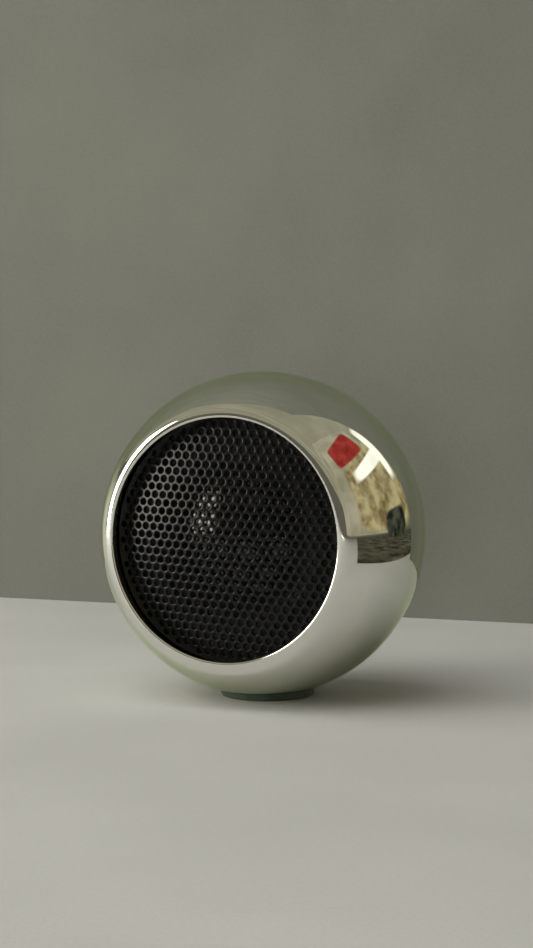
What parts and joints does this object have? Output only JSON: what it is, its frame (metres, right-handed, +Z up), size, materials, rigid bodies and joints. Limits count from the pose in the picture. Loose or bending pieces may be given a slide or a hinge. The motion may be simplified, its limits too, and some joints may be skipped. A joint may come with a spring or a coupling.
{
  "type": "mini ball speaker",
  "caption": "Small portable loudspeaker: mirror-chrome ball housing with a rounded lip round a domed perforated black grille, low round foot, rear button and charging inlet.",
  "frame": {"origin": "the point of the foot's flat underside straight under the ball's centre", "axes": "+Z up, the grille faces -Y and the rear cover +Y, +X is to the right when facing the grille"},
  "size_m": [0.045, 0.0328, 0.0452],
  "materials": {
    "chrome_plate": "mirror chrome, green at grazing angles",
    "black_steel": "semi-gloss black paint on perforated steel",
    "foot_rubber": "matt",
    "cover_plastic": "fine moulded grain",
    "button_plastic": "satin",
    "light_plastic": "frosted",
    "screw_steel": "zinc plated",
    "gasket_foam": "closed-cell foam",
    "clamp_plastic": "moulded ring",
    "basket_steel": "stamped, painted",
    "surround_rubber": "smooth",
    "cone_paper": "pressed paper",
    "cap_film": "glossy film",
    "former_film": "amber film",
    "coil_copper": "enamelled copper",
    "spider_cloth": "resin-treated cloth",
    "magnet_steel": "zinc plated",
    "magnet_ferrite": "sintered ferrite",
    "terminal_fibre": "pressed fibre",
    "lead_black": "insulated wire",
    "lead_red": "insulated wire",
    "battery_foil": "aluminium laminate pouch",
    "pad_foam": "double-sided foam",
    "connector_nylon": "nylon",
    "board_laminate": "green solder mask",
    "chip_black": "epoxy",
    "can_metal": "drawn can",
    "microphone_metal": "drawn can",
    "led_resin": "clear resin",
    "inlet_steel": "nickel plated",
    "tongue_plastic": "moulded",
    "switch_plastic": "moulded",
    "plunger_plastic": "moulded"
  },
  "bodies": {
    "housing": {"front_shell": "chrome_plate", "rear_shell": "chrome_plate", "grille": "black_steel", "foot_pad": "foot_rubber", "rear_cover": "cover_plastic", "light_pipe": "light_plastic", "rear_cover_screws": "screw_steel", "circuit_board_screws": "screw_steel", "clamp_screws": "screw_steel", "grille_gasket": "gasket_foam", "driver_clamp_ring": "clamp_plastic", "driver_basket": "basket_steel", "surround": "surround_rubber", "spider": "spider_cloth", "top_plate": "magnet_steel", "magnet": "magnet_ferrite", "yoke": "magnet_steel", "terminal_board": "terminal_fibre", "speaker_leads": "lead_black", "battery_cell": "battery_foil", "battery_pad": "pad_foam", "battery_leads": "lead_red", "battery_connector": "connector_nylon", "circuit_board": "board_laminate", "radio_chip": "chip_black", "amplifier_chip": "chip_black", "crystal": "can_metal", "capacitors": "can_metal", "microphone": "microphone_metal", "status_led": "led_resin", "usb_socket": "inlet_steel", "usb_tongue": "tongue_plastic", "tact_switch": "switch_plastic"},
    "diaphragm": {"cone": "cone_paper", "dust_cap": "cap_film", "voice_coil_former": "former_film", "voice_coil_winding": "coil_copper"},
    "button": {"power_button": "button_plastic"},
    "plunger": {"switch_plunger": "plunger_plastic"}
  },
  "joints": [
    {"name": "diaphragm_travel", "type": "slide", "parent": "housing", "child": "diaphragm", "axis": [0, -1, 0], "range_m": [-0.0007, 0.0007], "stiffness_N_per_m": 1200, "deforming": ["surround", "spider"]},
    {"name": "button_press", "type": "slide", "parent": "housing", "child": "button", "axis": [0, -1, 0], "range_m": [0, 0.00025], "stiffness_N_per_m": 4000},
    {"name": "plunger_press", "type": "slide", "parent": "housing", "child": "plunger", "axis": [0, -1, 0], "range_m": [0, 0.00025]}
  ],
  "couplings": [
    {"joint": "plunger_press", "follows": "button_press", "ratio": 1}
  ]
}
